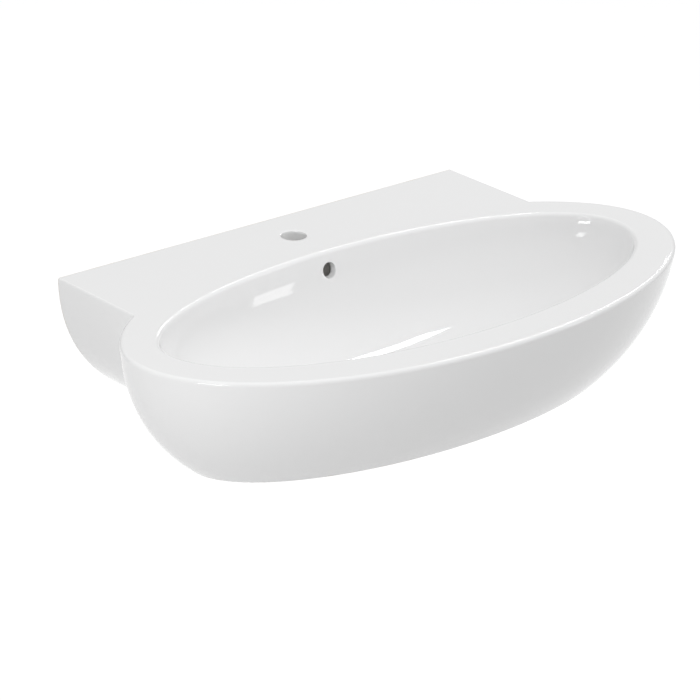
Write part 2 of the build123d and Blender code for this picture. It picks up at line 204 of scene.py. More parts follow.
# Loop round the skirt and the rear block at a depth: the oval, left side, back and right side.
def outline(depth, inset=0.0, backY=0.0, rounded=True):
    step = np.interp(depth, depthTable, stepTable)
    sideX = curvedIn(basin["shelf"], step) - inset
    if rounded:
        sideX = sideX + roundedIn(depth, 0.0, basin["shelfRound"])
    tried = np.radians(np.linspace(85, 3, 400))
    curve = skirtCurve(tried, depth, inset, basin["rimRound"] * rounded)
    meeting = np.interp(sideX, curve[:, 0], tried)
    angle = np.linspace(meeting, -math.pi - meeting, basin["ovalColumns"] + 1)
    oval = skirtCurve(angle, depth, inset, basin["rimRound"] * rounded)
    meetingY = oval[0, 1]
    side = np.linspace(meetingY, backY, basin["sideColumns"] + 1)
    left = np.stack([np.full_like(side, -sideX), side], axis=1)
    right = np.stack([np.full_like(side, sideX), side[::-1]], axis=1)
    back = np.linspace(-sideX, sideX, basin["backColumns"] + 1)
    back = np.stack([back, np.full_like(back, backY)], axis=1)
    loop = np.concatenate([oval[:-1], left[:-1], back[:-1], right[:-1]])
    return np.column_stack([loop, np.full(len(loop), rimZ - depth)])


# Angle of each column on an inner oval, matched to the outline's stretches.
def loopAngles(meeting, corner):
    turns = (meeting, -180 - meeting, -180 - corner, -360 + corner, -360 + meeting)
    counts = [basin[key] for key in ("ovalColumns", "sideColumns", "backColumns", "sideColumns")]
    stretches = [np.linspace(start, end, count + 1)[:-1]
                 for start, end, count in zip(turns, turns[1:], counts)]
    return np.radians(np.concatenate(stretches))


# Cubic Bezier of the bowl: its radius from 1 to 0 and its depth from 0 to 1.
def bowlProfile(t):
    wall, floor = basin["bowlWallFullness"], basin["bowlFloorFullness"]
    radius = (1 - t) ** 3 + 3 * (1 - t) ** 2 * t + 3 * (1 - t) * t ** 2 * floor
    depth = 3 * (1 - t) ** 2 * t * wall + 3 * (1 - t) * t ** 2 + t ** 3
    return radius, depth


profileT = np.linspace(0, 1, 2001)
profileRadius, profileDepth = bowlProfile(profileT)


# Half width, front and rear reach of the bowl, moved outward by an offset.
def bowlSizes(offset):
    return [size + offset for size in basin["bowl"]]


# Ellipses on the bowl, or on its underside at an offset, one for each step of the profile.
def bowlLoops(t, offset, angle):
    radius, depth = bowlProfile(t)
    point, _ = ovalPoint(angle, bowlSizes(offset), 0.0)
    z = rimZ - depth * (basin["bowlDepth"] + offset)
    return xyz(point[:, 0] * radius, drainY + point[:, 1] * radius, z)


# Height of the bowl over a point in plan.
def bowlHeight(x, y, offset):
    halfWidth, front, rear = bowlSizes(offset)
    reach = np.where(y >= drainY, rear, front)
    radius = np.hypot(x / halfWidth, (y - drainY) / reach)
    depth = np.interp(-radius, -profileRadius, profileDepth)
    return rimZ - depth * (basin["bowlDepth"] + offset)


# Distance from the wall of the bowl's rear at a height.
def bowlRearY(x, z, offset):
    halfWidth, _, rear = bowlSizes(offset)
    radius = np.interp((rimZ - z) / (basin["bowlDepth"] + offset), profileDepth, profileRadius)
    return drainY + rear * np.sqrt(np.maximum(radius ** 2 - (x / halfWidth) ** 2, 0))


# Loops in steps from one loop to another.
def between(first, last, shares):
    share = np.asarray(shares)[:, None, None]
    return first[None] * (1 - share) + last[None] * share


# Rounded edge between the bowl and the top: a circle's arc tangent to both, and its lower end's depth.
def openingRound(angle):
    radius = basin["openingRound"]
    point, normal = ovalPoint(angle, basin["bowl"], 0.0)
    support = (point * normal).sum(axis=-1)
    share = np.interp(radius / basin["bowlDepth"], profileDepth, profileRadius)
    lean = np.arctan((1 - share) * 2 * support / radius)
    depth = radius * (1 - np.sin(lean))
    radiusThere = np.interp(depth / basin["bowlDepth"], profileDepth, profileRadius)
    centre = -(1 - radiusThere) * support + radius * np.cos(lean)
    turn = lean + (math.pi / 2 - lean) * np.linspace(0, 1, basin["openingRows"])[:, None]
    out = centre - radius * np.cos(turn)
    plan = point[None] + normal[None] * out[..., None]
    return xyz(plan[..., 0], drainY + plan[..., 1], rimZ - radius + radius * np.sin(turn)), depth


# The glazed inside, from the drain's seat up to the rounded edge of the opening.
def bowlRows(angle):
    edgeRows, edgeDepth = openingRound(angle)
    lowest = np.interp(-basin["floorShare"], -profileRadius, profileT)
    highest = np.interp(edgeDepth / basin["bowlDepth"], profileDepth, profileT)
    share = np.linspace(0, 1, basin["wallRows"] + 1)[:-1, None]
    rows = bowlLoops(lowest + (highest[None] - lowest) * share, 0.0, angle)
    ring = onDrain(basin["recessRadius"], angle, 0.0)
    floor = between(ring, rows[0], np.linspace(0, 1, basin["floorRows"] + 1)[:-1])
    floor[..., 2] = bowlHeight(floor[..., 0], floor[..., 1], 0.0)
    return np.concatenate([floor, rows, edgeRows])


# Angles of the underside's columns, spread so that the overflow channel's cover has its own.
def undersideAngles():
    angle = loopAngles(20, 40)
    start = basin["ovalColumns"] + basin["sideColumns"]
    return angle, start, start + basin["backColumns"]


# The bowl's back, from the drain boss up to the ceiling, with the overflow channel's cover standing out.
def undersideRows(steps):
    wall = basin["bowlWall"]
    angle, start, end = undersideAngles()
    ceilingT = np.interp((rimZ - ceilingZ) / (basin["bowlDepth"] + wall), profileDepth, profileT)
    lowestT = np.interp(-basin["floorShare"], -profileRadius, profileT)
    nearRows = 5                             # between the drain boss and the bowl's own loops
    loops = bowlLoops(np.linspace(lowestT, ceilingT, steps - nearRows)[:, None], wall, angle)
    ring = onDrain(basin["bossRadius"], angle, 0.0)
    near = between(ring, loops[0], np.linspace(0, 1, nearRows + 1)[:-1])
    near[..., 2] = bowlHeight(near[..., 0], near[..., 1], wall)
    rows = np.concatenate([near, loops])

    coverHalf = basin["channelHalf"] + basin["channelWall"]
    coverOut = wall + basin["channelGap"] + basin["channelWall"]
    sides = (basin["backColumns"] - basin["channelColumns"] - 2) // 2
    halfWidth, _, rear = bowlSizes(wall)
    for row in rows:
        endX = abs(row[start, 0])
        x = np.concatenate([np.linspace(-endX, -coverHalf, sides + 1),
                            np.linspace(-coverHalf, coverHalf, basin["channelColumns"] + 1),
                            np.linspace(coverHalf, endX, sides + 1)])
        row[start:end, 0] = x[:-1]
        share = np.hypot(row[start - 1, 0] / halfWidth, (row[start - 1, 1] - drainY) / rear)
        row[start:end, 1] = drainY + rear * np.sqrt(np.maximum(share ** 2 - (x[:-1] / halfWidth) ** 2, 0))
    first = slice(start, end)
    bossY = drainY + np.sqrt(basin["bossRadius"] ** 2 - rows[0, first, 0] ** 2)
    rows[0, first, 1] = bossY
    rows[0, first, 2] = bowlHeight(rows[0, first, 0], bossY, wall)
    for index in range(1, nearRows):
        rows[index, first, 1] = bossY + (rows[nearRows, first, 1] - bossY) * index / nearRows
    rows[:nearRows, first, 2] = bowlHeight(rows[:nearRows, first, 0], rows[:nearRows, first, 1], wall)

    cover = slice(start + sides + 1, start + sides + 2 + basin["channelColumns"])
    x = np.linspace(-coverHalf, coverHalf, basin["channelColumns"] + 1)
    coverBossY = drainY + np.sqrt(basin["bossRadius"] ** 2 - x ** 2)
    outWidth, _, outRear = bowlSizes(coverOut)
    bossShare = np.hypot(x / outWidth, (coverBossY - drainY) / outRear)
    bossT = np.interp(-bossShare, -profileRadius, profileT)
    topT = np.interp((rimZ - ceilingZ) / (basin["bowlDepth"] + coverOut), profileDepth, profileT)
    t = bossT + (topT - bossT) * np.linspace(0, 1, len(rows))[:, None]
    radius, depth = bowlProfile(t)
    y = drainY + outRear * np.sqrt(np.maximum(radius ** 2 - (x / outWidth) ** 2, 0))
    rows[:, cover] = xyz(x, y, rimZ - depth * (basin["bowlDepth"] + coverOut))
    return rows


# Flat top between the opening and the outer edge, then the outer edge, the skirt and its foot.
def rimRows(angle):
    inner = openingRound(angle)[0][-1]
    outer = outline(0.0)
    shares = np.concatenate([[0.006], np.linspace(0.03, 0.97, 21), [0.994]])
    rows = [between(inner, outer, shares)]
    edge = basin["rimRound"] * (1 - np.cos(np.linspace(0, math.pi / 2, 9)))
    belowEdge = edge[-1] + np.array([0.6, 1.4, 2.4, 4.0])
    skirt = np.linspace(13, height - 2.5, basin["skirtRows"])
    depths = np.concatenate([edge, belowEdge, skirt, [height - 1.2]])
    rows.append(np.stack([outline(depth) for depth in depths]))
    last, foot = outline(height - 0.7), outline(height)
    footIn = outline(height, inset=basin["baseRound"])
    turn = np.linspace(0, 1, 5)[:, None, None]
    rows.append((1 - turn) ** 2 * last + 2 * turn * (1 - turn) * foot + turn ** 2 * footIn)
    return np.concatenate(rows)


# The open underside: the foot's inner edge and the inner walls up to the ceiling.
def hollowRows():
    top, margin = basin["shelfThickness"], 1.5
    walls = np.linspace(height - margin, top + margin, basin["hollowRows"])
    return np.stack([outline(depth, inset=basin["skirtWall"], backY=-basin["backWall"], rounded=False)
                     for depth in (height, *walls, top)])


# Walls of the overflow channel, from the drain's bore up the rear of the bowl: a rectangle per loop.
def channelLoops():
    half, near = basin["channelHalf"], basin["bowlWall"]
    far = near + basin["channelGap"]
    across = np.linspace(-half, half, 23)
    through = np.linspace(near, far, 9)
    wide, deep = np.ones(len(across) - 1), np.ones(len(through) - 1)
    x = np.concatenate([across[:-1], half * deep, across[:0:-1], -half * deep])
    offset = np.concatenate([near * wide, through[:-1], far * wide, through[:0:-1]])
    halfWidth, rear = basin["bowl"][0] + offset, basin["bowl"][2] + offset
    boreY = np.sqrt(basin["boreRadius"] ** 2 - x ** 2)
    boreT = np.interp(-np.hypot(x / halfWidth, boreY / rear), -profileRadius, profileT)
    topT = np.interp((rimZ - ceilingZ) / (basin["bowlDepth"] + offset), profileDepth, profileT)
    share = 1 - np.linspace(1, 0, basin["channelRows"])[:, None] ** basin["channelEase"]
    radius, depth = bowlProfile(boreT + (topT - boreT) * share)
    y = drainY + rear * np.sqrt(np.maximum(radius ** 2 - (x / halfWidth) ** 2, 0))
    y[0] = drainY + boreY
    return xyz(x, y, rimZ - depth * (basin["bowlDepth"] + offset))


# Rings of a hole with a rounded edge, a quarter circle: their radius, and their depth below the surface.
def roundEdge(radius, steps=5):
    edge = basin["holeRound"]
    tau = np.linspace(0, math.pi / 2, steps)[:, None]
    return radius + edge * (1 - np.sin(tau)), edge * (1 - np.cos(tau))


# All loops of the ceramic in order, a closed tube of loops round the drain's axis.
def ceramicGrid():
    angle = loopAngles(30, 55)
    inside = bowlRows(angle)
    hollow = hollowRows()
    under = undersideRows(30)[::-1]
    bossAngle = np.arctan2(under[-1, :, 1] - drainY, under[-1, :, 0])
    bossEdge = onDrain(basin["bossRadius"], bossAngle, basin["bossZ"])
    boreEdge, boreTop = (onDrain(basin["boreRadius"], angle, z) for z in (basin["bossZ"], seatZ))
    seatEdge = onDrain(basin["recessRadius"], angle, seatZ)
    nearEnds = (0.05, 0.5, 0.95, 1.0)        # loops close to both edges keep the shading flat between them
    return {
        "inside": inside,
        "top": rimRows(angle),
        "hollow": hollow,
        "ceiling": between(hollow[-1], under[0], np.linspace(0, 1, 22)[1:-1]),
        "under": under,
        "bossSide": between(under[-1], bossEdge, nearEnds),
        "bossFoot": between(bossEdge, boreEdge, nearEnds),
        "bore": between(boreEdge, boreTop, np.linspace(0, 1, 24)[1:]),
        "seat": between(boreTop, seatEdge, (0.1, 0.5, 0.9, 1.0)),
        "recess": between(seatEdge, inside[0], (0.2, 0.8)),
    }


onFace = 0.001                               # how near a point lies to the face it belongs to


# Points and faces of one closed skin, gathered region by region.
class Shell:

    def __init__(self):
        self.points = np.empty((0, 3))
        self.thin = np.empty(0)              # 1 where the glaze is sprayed thin
        self.quads = np.empty((0, 4), dtype=int)
        self.triangles = np.empty((0, 3), dtype=int)

    # Joins loops of points, one to the next, and returns the numbers of the first and last loop.
    def addLoops(self, loops, closedRows=False, thin=0.0):
        first = len(self.points)
        rows, columns = loops.shape[:2]
        self.thin = np.concatenate([self.thin, np.repeat(thin * np.ones(rows), columns)])
        self.points = np.concatenate([self.points, loops.reshape(-1, 3)])
        self.quads = np.concatenate([self.quads, gridFaces(rows, columns, first, closedRows)])
        return np.arange(first, first + columns), np.arange(len(self.points) - columns, len(self.points))

    # Opens the skin round the marked points and joins the hole to a ring, in a flat picture of both.
    def cut(self, marked, flat, centre, ring):
        gone = marked[self.quads].any(axis=1)
        rim = np.intersect1d(self.quads[gone], self.quads[~gone])
        self.quads = self.quads[~gone]
        turns = [np.arctan2(*(flat[numbers] - centre).T[::-1]) for numbers in (rim, ring)]
        self.triangles = np.concatenate([self.triangles, zipRings(rim, turns[0], ring, turns[1])])

    # Closes a loop of points with triangles to its middle.
    def closeLoop(self, ring):
        middle = self.points[ring].mean(axis=0)
        self.points = np.concatenate([self.points, middle[None]])
        self.thin = np.append(self.thin, self.thin[ring[0]])
        last = np.full(len(ring), len(self.points) - 1)
        fan = np.stack([ring, np.roll(ring, -1), last], axis=1)
        self.triangles = np.concatenate([self.triangles, fan])

    # The points still in use and the faces, with the points numbered anew.
    def faces(self):
        used = np.unique(np.concatenate([self.quads.ravel(), self.triangles.ravel()]))
        number = np.zeros(len(self.points), dtype=int)
        number[used] = np.arange(len(used))
        self.thin = self.thin[used]
        return self.points[used], number[self.quads].tolist() + number[self.triangles].tolist()


# Tap hole, rounded at the top, through the shelf.
def cutTapHole(shell, turn):
    radius, depth = roundEdge(basin["tapRadius"])
    rings = xyz(radius * np.cos(turn), basin["tapY"] + radius * np.sin(turn), rimZ - depth)
    below = rings[-1] * [1, 1, 0] + [0, 0, ceilingZ]
    upper, lower = shell.addLoops(np.concatenate([rings, between(rings[-1], below, [0.3, 0.95, 1.0])]))
    p = shell.points
    centre = np.array([0.0, basin["tapY"]])
    reach = np.hypot(*(p[:, :2] - centre).T)
    old = np.arange(len(p)) < upper[0]
    for level, widest, ring in ((rimZ, radius[0, 0], upper), (ceilingZ, radius[-1, 0], lower)):
        shell.cut(old & (abs(p[:, 2] - level) < onFace) & (reach < widest + 2), p[:, :2], centre, ring)


# Overflow hole in the rear of the bowl, and the channel from it down to the drain's bore.
def cutOverflow(shell, turn):
    mouth, top = shell.addLoops(channelLoops(), thin=1.0)
    shell.closeLoop(top)
    channelEnd = len(shell.points)
    radius, depth = roundEdge(basin["overflowRadius"])
    x, z = radius * np.cos(turn), overflowZ + radius * np.sin(turn)
    rings = xyz(x, bowlRearY(x, z, 0.0) + depth, z)
    behind = rings[-1].copy()
    behind[:, 1] = bowlRearY(behind[:, 0], behind[:, 2], basin["bowlWall"])
    inner, outer = shell.addLoops(np.concatenate([rings, between(rings[-1], behind, [0.2, 0.6, 0.95, 1.0])]))
    p = shell.points
    flat = p[:, ::2]
    number = np.arange(len(p))
    ofGrid, ofChannel = number < mouth[0], (number >= mouth[0]) & (number < channelEnd)
    centre = np.array([0.0, overflowZ])
    reach = np.hypot(*(flat - centre).T)
    offBowl, offBack = (abs(p[:, 1] - bowlRearY(p[:, 0], p[:, 2], offset))
                        for offset in (0.0, basin["bowlWall"]))
    shell.cut(ofGrid & (reach < radius[0, 0] + 1) & (offBowl < 0.5), flat, centre, inner)
    shell.cut(ofChannel & (reach < radius[-1, 0] + 0.4) & (offBack < 0.01), flat, centre, outer)

    bore = abs(np.hypot(p[:, 0], p[:, 1] - drainY) - basin["boreRadius"]) < onFace
    unrolled = np.stack([basin["boreRadius"] * np.arctan2(p[:, 0], p[:, 1] - drainY), p[:, 2]], axis=1)
    low, high = unrolled[mouth].min(axis=0), unrolled[mouth].max(axis=0)
    margin = 0.6
    inside = ((unrolled > low - margin) & (unrolled < high + margin)).all(axis=1)
    shell.cut(bore & inside & ofGrid, unrolled, (low + high) / 2, mouth)


# Hole for a wall fixing, with its round pad on the room side of the back wall.
def cutFixing(shell, centreX, turn):
    pad, hole = basin["padRadius"], basin["fixingRadius"]
    wallY = -basin["backWall"]
    padY = wallY - basin["padThickness"]
    stages = [(pad, wallY), (pad, padY + 0.4), (pad - 0.4, padY), (pad - 2, padY), (hole + 1.5, padY),
              (hole, padY), (hole, padY + 1), (hole, -1.0), (hole, 0.0)]
    loops = np.stack([onFixing(centreX)(radius, turn, y) for radius, y in stages])
    first, last = shell.addLoops(loops, thin=1.0)
    p = shell.points
    flat = p[:, ::2]
    centre = np.array([centreX, 0.0])
    reach = np.hypot(*(flat - centre).T)
    old = np.arange(len(p)) < first[0]
    for y, radius, ring in ((wallY, pad, first), (0.0, hole, last)):
        shell.cut(old & (abs(p[:, 1] - y) < onFace) & (reach < radius + 1), flat, centre, ring)


# The ceramic: the closed grid of loops, then the tap hole, the overflow and the two fixing holes cut into it.
def makeCeramic():
    parts = ceramicGrid()
    shell = Shell()
    unseen = ("hollow", "ceiling", "under", "bossSide", "bossFoot", "bore")
    thin = np.concatenate([np.full(len(rows), float(name in unseen)) for name, rows in parts.items()])
    shell.addLoops(np.concatenate(list(parts.values())), closedRows=True, thin=thin)
    turn = np.linspace(-math.pi, math.pi, 97)[:-1]
    cutTapHole(shell, turn)
    cutOverflow(shell, turn)
    for side in (-1, 1):
        cutFixing(shell, side * basin["fixingX"], turn[::2])
    verts, faces = shell.faces()
    print("ceramic:", len(verts), "points,", len(faces), "faces")
    piece = newPiece("basin_ceramic", verts, faces)
    attribute = piece.data.attributes.new("thinGlaze", "FLOAT", "POINT")
    attribute.data.foreach_set("value", shell.thin.astype(np.float32))
    return piece


ceramic = makeCeramic()
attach(ceramic, "basin")
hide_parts("basin_body")


# turned and threaded metal, the waste on the drain's axis and the fixings along the wall's depth

rowsPerPitch = 7
rootWidth = 0.7                              # power below 1 that widens a thread's root
clearance = 0.08                             # between threads that meet
slotOf = {part["node"]: part["material_slot"] for part in frame["record"]["subparts"]}


# Thread's depth from 0 at the crest to 1 at the root: a rounded wave that climbs one pitch a turn.
def bite(turn, along, pitch):
    wave = 0.5 - 0.5 * np.cos(2 * math.pi * (along / pitch - turn / (2 * math.pi)))
    return wave ** rootWidth


# Rings along a screw thread: the crest's radius less its depth times the bite, which fades at both ends.
def threadLoops(thread, low, high, turn, perPitch=rowsPerPitch):
    crest, depth, pitch = thread
    along = np.linspace(low, high, max(int((high - low) / pitch * perPitch), 4))[:, None]
    fade = np.clip(np.minimum(along - low, high - along) / pitch, 0, 1)
    return crest - depth * fade * bite(turn, along, pitch), along + 0 * turn


# Profile of (radius, along) points with its corners rounded: a quadratic arc inside each corner.
def roundCorners(profile, radius, steps=4):
    profile = np.asarray(profile, dtype=float)
    before, after = np.roll(profile, 1, axis=0), np.roll(profile, -1, axis=0)
    reach = np.minimum(np.linalg.norm(profile - before, axis=1), np.linalg.norm(after - profile, axis=1))
    reach = np.minimum(radius, reach * 0.45)[:, None]
    start, end = (profile + (other - profile) / np.linalg.norm(other - profile, axis=1, keepdims=True) * reach
                  for other in (before, after))
    share = np.linspace(0, 1, steps)[None, :, None]
    first, corner, last = start[:, None], profile[:, None], end[:, None]
    arcs = (1 - share) ** 2 * first + 2 * share * (1 - share) * corner + share ** 2 * last
    return arcs.reshape(-1, 2)


# Angles in even steps round a full turn.
def ringTurns(count):
    return np.linspace(-math.pi, math.pi, count + 1)[:-1]


# A profile of (radius, along) points carried round the drain's axis, one loop for each point.
def turned(profile, count):
    return onDrain(profile[:, :1], ringTurns(count)[None], profile[:, 1:])


# Loops joined one to the next and closed at both ends.
def addCapped(shell, loops):
    for ring in shell.addLoops(loops):
        shell.closeLoop(ring)


# Radius of a hexagon at each angle: half the width over the cosine of the angle from a flat's middle.
def hexagon(turn, acrossFlats):
    sector = np.mod(turn, math.pi / 3) - math.pi / 6
    return acrossFlats / 2 / np.cos(sector)


# Hexagon nut: a threaded bore, flat faces, and corners cut back by a cone of 30 degrees.
def addNut(shell, place, acrossFlats, thread, low, high, bevel, turn):
    crest, depth, pitch = thread
    margin = 0.6
    along = np.linspace(low + margin, high - margin, int((high - low) / pitch * rowsPerPitch))[:, None]
    bore = crest + clearance - depth * bite(turn, along, pitch)
    flats = hexagon(turn, acrossFlats)[None]
    faceRadius = acrossFlats / 2 - bevel * 0.25
    drop = (flats - faceRadius) * math.tan(math.radians(30))
    mouth = crest + 0.35
    rings = [(bore, along), (mouth, high), (faceRadius, high), (flats, high - drop),
             (flats, (low + high) / 2), (flats, low + drop), (faceRadius, low), (mouth, low)]
    rows = np.concatenate([place(radius, turn[None], level) for radius, level in rings])
    shell.addLoops(rows, closedRows=True)


# Box from its eight corners, the lower four and then the upper four, in order round it.
def addBox(shell, corners):
    first = len(shell.points)
    shell.points = np.concatenate([shell.points, corners])
    shell.thin = np.append(shell.thin, np.zeros(len(corners)))
    sides = [(0, 1, 5, 4), (1, 2, 6, 5), (2, 3, 7, 6), (3, 0, 4, 7), (0, 3, 2, 1), (4, 5, 6, 7)]
    shell.quads = np.concatenate([shell.quads, first + np.array(sides)])


# Mesh from the shell. It rides on its body and takes over its CAD nodes.
def finishShell(shell, name, *stands, body="basin"):
    verts, faces = shell.faces()
    piece = newPiece(name, verts, faces)
    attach(piece, body)
    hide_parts(*stands)
    print(name + ":", len(faces), "faces")
    return piece


waste = {
    "thread": (20.95, 1.3, 2.309), "boreRadius": 17.5, "endZ": -129.0, "endBevel": 1.0, "mouthBevel": 2.5,
    "flangeRadius": 31.5, "flangeZ": (-47.0, -44.0), "flangeRound": 1.2,
    "grooveRadius": 20.15, "grooveZ": (-104.5, -103.0),
    "windowWidth": 18.0, "windowZ": (-67.5, -54.5), "windowCount": 4,
    "hubRadius": 8.0, "hubBore": 4.0, "spiderZ": (-81.0, -75.0), "spokeWidth": 4.0, "spokeCount": 3,
    "nutFlats": 55.0, "nutZ": (-102.0, -93.0), "nutBevel": 1.5,
    "windowColumns": 12, "postColumns": 10,
    "rows": (8, 40, 108, 6, 72),             # flange to window, window, to groove, groove, to the end
}


# Angles of the tube's columns at a radius, so that the windows' sides stay parallel.
def windowTurns(radius):
    half = math.asin(waste["windowWidth"] / 2 / radius)
    step = 2 * math.pi / waste["windowCount"]
    turns = []
    for index in range(waste["windowCount"]):
        middle = math.pi / 2 + step * index
        turns.append(np.linspace(middle - half, middle + half, waste["windowColumns"] + 1)[:-1])
        turns.append(np.linspace(middle + half, middle + step - half, waste["postColumns"] + 1)[:-1])
    return np.concatenate(turns)


# Waste tube: flange, threaded outside and smooth bore on shared rows, with windows cut through both.
def makeWaste():
    shell = Shell()
    bore, flangeRadius, edge, bevel = (waste[key] for key in
                                       ("boreRadius", "flangeRadius", "flangeRound", "mouthBevel"))
    crest, depth, pitch = waste["thread"]
    low, high = waste["windowZ"]
    flangeLow, flangeHigh = waste["flangeZ"]
    grooveLow, grooveHigh = waste["grooveZ"]
    levels = (flangeLow, high, low, grooveHigh, grooveLow, waste["endZ"] + waste["endBevel"])
    z = [np.linspace(start, end, count + 1)[:-1]
         for start, end, count in zip(levels, levels[1:], waste["rows"])]
    z = np.concatenate(z + [levels[-1:]])[:, None]
    outerTurn, innerTurn = windowTurns(crest)[None], windowTurns(bore)[None]
    plain = np.minimum.reduce([z - z[-1] + 0.4, flangeLow - 4 - z, np.abs(z - grooveLow) + 0.3,
                               np.abs(z - grooveHigh) + 0.3])
    outerRadius = crest - depth * np.clip(plain / pitch * 1.5, 0, 1) * bite(outerTurn, z, pitch)
    groove = (z < grooveHigh + 0.01) & (z > grooveLow - 0.01)
    outerRadius = np.where(groove, np.minimum(outerRadius, waste["grooveRadius"]), outerRadius)
    arc = np.linspace(0, math.pi / 2, 7)[:, None]
    flange = [(bore + bevel * (1 - share), innerTurn, flangeHigh - bevel * share)
              for share in (0.95, 0.5, 0.05)]
    flange += [(bore + bevel + 1, innerTurn, flangeHigh), (flangeRadius - edge - 0.5, outerTurn, flangeHigh),
               (flangeRadius - edge + edge * np.sin(arc), outerTurn, flangeHigh - edge + edge * np.cos(arc)),
               (flangeRadius, outerTurn, flangeLow + 0.3), (flangeRadius - 0.3, outerTurn, flangeLow),
               (crest + 0.4, outerTurn, flangeLow)]
    flange = np.concatenate([onDrain(*ring) for ring in flange])
    wall = [(outerRadius, outerTurn, z), (crest - waste["endBevel"], outerTurn, waste["endZ"]),
            (bore + 0.3, innerTurn, waste["endZ"]), (bore, innerTurn, z[::-1])]
    rows = np.concatenate([flange] + [onDrain(*ring) for ring in wall])
    shell.addLoops(rows, closedRows=True)

    columns = rows.shape[1]
    outerFirst = len(flange)
    innerLast = len(rows) - 1                # the inner wall's top row
    perWindow, perStep = waste["windowColumns"], waste["windowColumns"] + waste["postColumns"]
    topRow, lowRow = waste["rows"][0], sum(waste["rows"][:2])
    number = np.arange(len(rows) * columns).reshape(len(rows), columns)
    row, column = shell.quads[:, 0] // columns, shell.quads[:, 0] % columns
    crossed = [(there >= topRow) & (there < lowRow) for there in (row - outerFirst, innerLast - 1 - row)]
    gone = (column % perStep < perWindow) & (crossed[0] | crossed[1])
    shell.quads = shell.quads[~gone]
    for index in range(waste["windowCount"]):
        across = np.arange(perWindow + 1) + index * perStep
        down = np.arange(topRow, lowRow + 1)
        around = [(topRow, c) for c in across[:-1]] + [(r, across[-1]) for r in down[:-1]] \
            + [(lowRow, c) for c in across[:0:-1]] + [(r, across[0]) for r in down[:0:-1]]
        around = np.array(around)
        outside = number[outerFirst + around[:, 0], around[:, 1] % columns]
        inside = number[innerLast - around[:, 0], around[:, 1] % columns]
        walls = np.stack([outside, inside, np.roll(inside, -1), np.roll(outside, -1)], axis=1)
        shell.quads = np.concatenate([shell.quads, walls])

    low, high = waste["spiderZ"]
    hub, hubBore = waste["hubRadius"], waste["hubBore"]
    section = roundCorners([(hubBore, low), (hub, low), (hub, high), (hubBore, high)], 0.5)
    shell.addLoops(turned(section, 48), closedRows=True)
    near, far, half = hub - 1, bore + 0.8, waste["spokeWidth"] / 2
    for index in range(waste["spokeCount"]):
        turn = math.pi / 2 + 2 * math.pi * index / waste["spokeCount"]
        out, side = np.array([math.cos(turn), math.sin(turn)]), np.array([-math.sin(turn), math.cos(turn)])
        ends = ((near, -1), (far, -1), (far, 1), (near, 1))
        flat = [out * radius + side * half * sign for radius, sign in ends]
        addBox(shell, np.array([[point[0], drainY + point[1], z] for z in (low, high) for point in flat]))
    return finishShell(shell, "waste_tube", "waste_body")


# Hexagon nut on the waste's thread.
def makeBackNut():
    shell = Shell()
    addNut(shell, onDrain, waste["nutFlats"], waste["thread"], *waste["nutZ"], waste["nutBevel"],
           ringTurns(120))
    return finishShell(shell, "waste_nut", "back_nut")


plug = {
    "radius": 31.0, "lowZ": -32.5, "edgeHeight": 1.4, "crownZ": -28.5, "hubRadius": 7.0, "hubZ": -40.0,
    "boreRadius": 3.0, "grooveRadii": (19.0, 26.0), "grooveDepth": 0.8,
    "coilRadius": 5.4, "wireRadius": 0.4, "coilTurns": 5, "springZ": (-73.0, -58.7),
}


# Cap turned from its section: a shallow crown on top, a rolled edge, the seal's groove and the hub below.
def makeCap():
    radius, low, hub, hubZ, bore = (plug[key] for key in ("radius", "lowZ", "hubRadius", "hubZ", "boreRadius"))
    crownEdge = low + plug["edgeHeight"]
    share = np.linspace(0.02, 1, 24)
    crownZ = plug["crownZ"] - (plug["crownZ"] - crownEdge) * share ** 2
    crown = np.stack([share * (radius - 0.7), crownZ], axis=1)
    inner, outer = plug["grooveRadii"]
    top = low + plug["grooveDepth"]
    below = [(radius, crownEdge - 0.5), (radius, low + 0.3), (radius - 0.3, low), (outer, low), (outer, top),
             (inner, top), (inner, low), (hub + 0.5, low), (hub, low - 0.5), (hub, hubZ + 0.5),
             (hub - 0.5, hubZ), (bore + 0.05, hubZ), (bore + 0.05, low - 1.5)]
    shell = Shell()
    addCapped(shell, turned(np.concatenate([crown, below]), 128))
    return finishShell(shell, "chrome_cap", "plug_cap", body="plug")


# Coil spring: a wire's circle carried along a helix whose ends close up to a flat turn.
def makeSpring():
    radius, wire = plug["coilRadius"], plug["wireRadius"]
    low, high = plug["springZ"]
    low, high = low + wire, high - wire
    share = np.linspace(0, 1, plug["coilTurns"] * 48 + 1)[:, None]
    rise = np.clip((share - 0.1) / 0.8, 0, 1)
    climb = low + (high - low) * rise + wire * 2 * (share - rise)
    turn = share * plug["coilTurns"] * 2 * math.pi
    around = ringTurns(10)[None]
    shell = Shell()
    addCapped(shell, onDrain(radius + wire * np.cos(around), turn, climb + wire * np.sin(around)))
    return finishShell(shell, "plunger_coil", "plunger_spring")


fixing = {
    "thread": (5.0, 0.85, 1.5), "shankY": (-46.0, 0.0), "endBevel": 1.0,
    "screwThread": (3.9, 0.95, 4.5), "screwY": (2.0, 60.0), "tipY": 68.0, "tipRadius": 0.8,
    "nutFlats": 17.0, "nutY": (-31.5, -23.5), "nutBevel": 1.0,
}


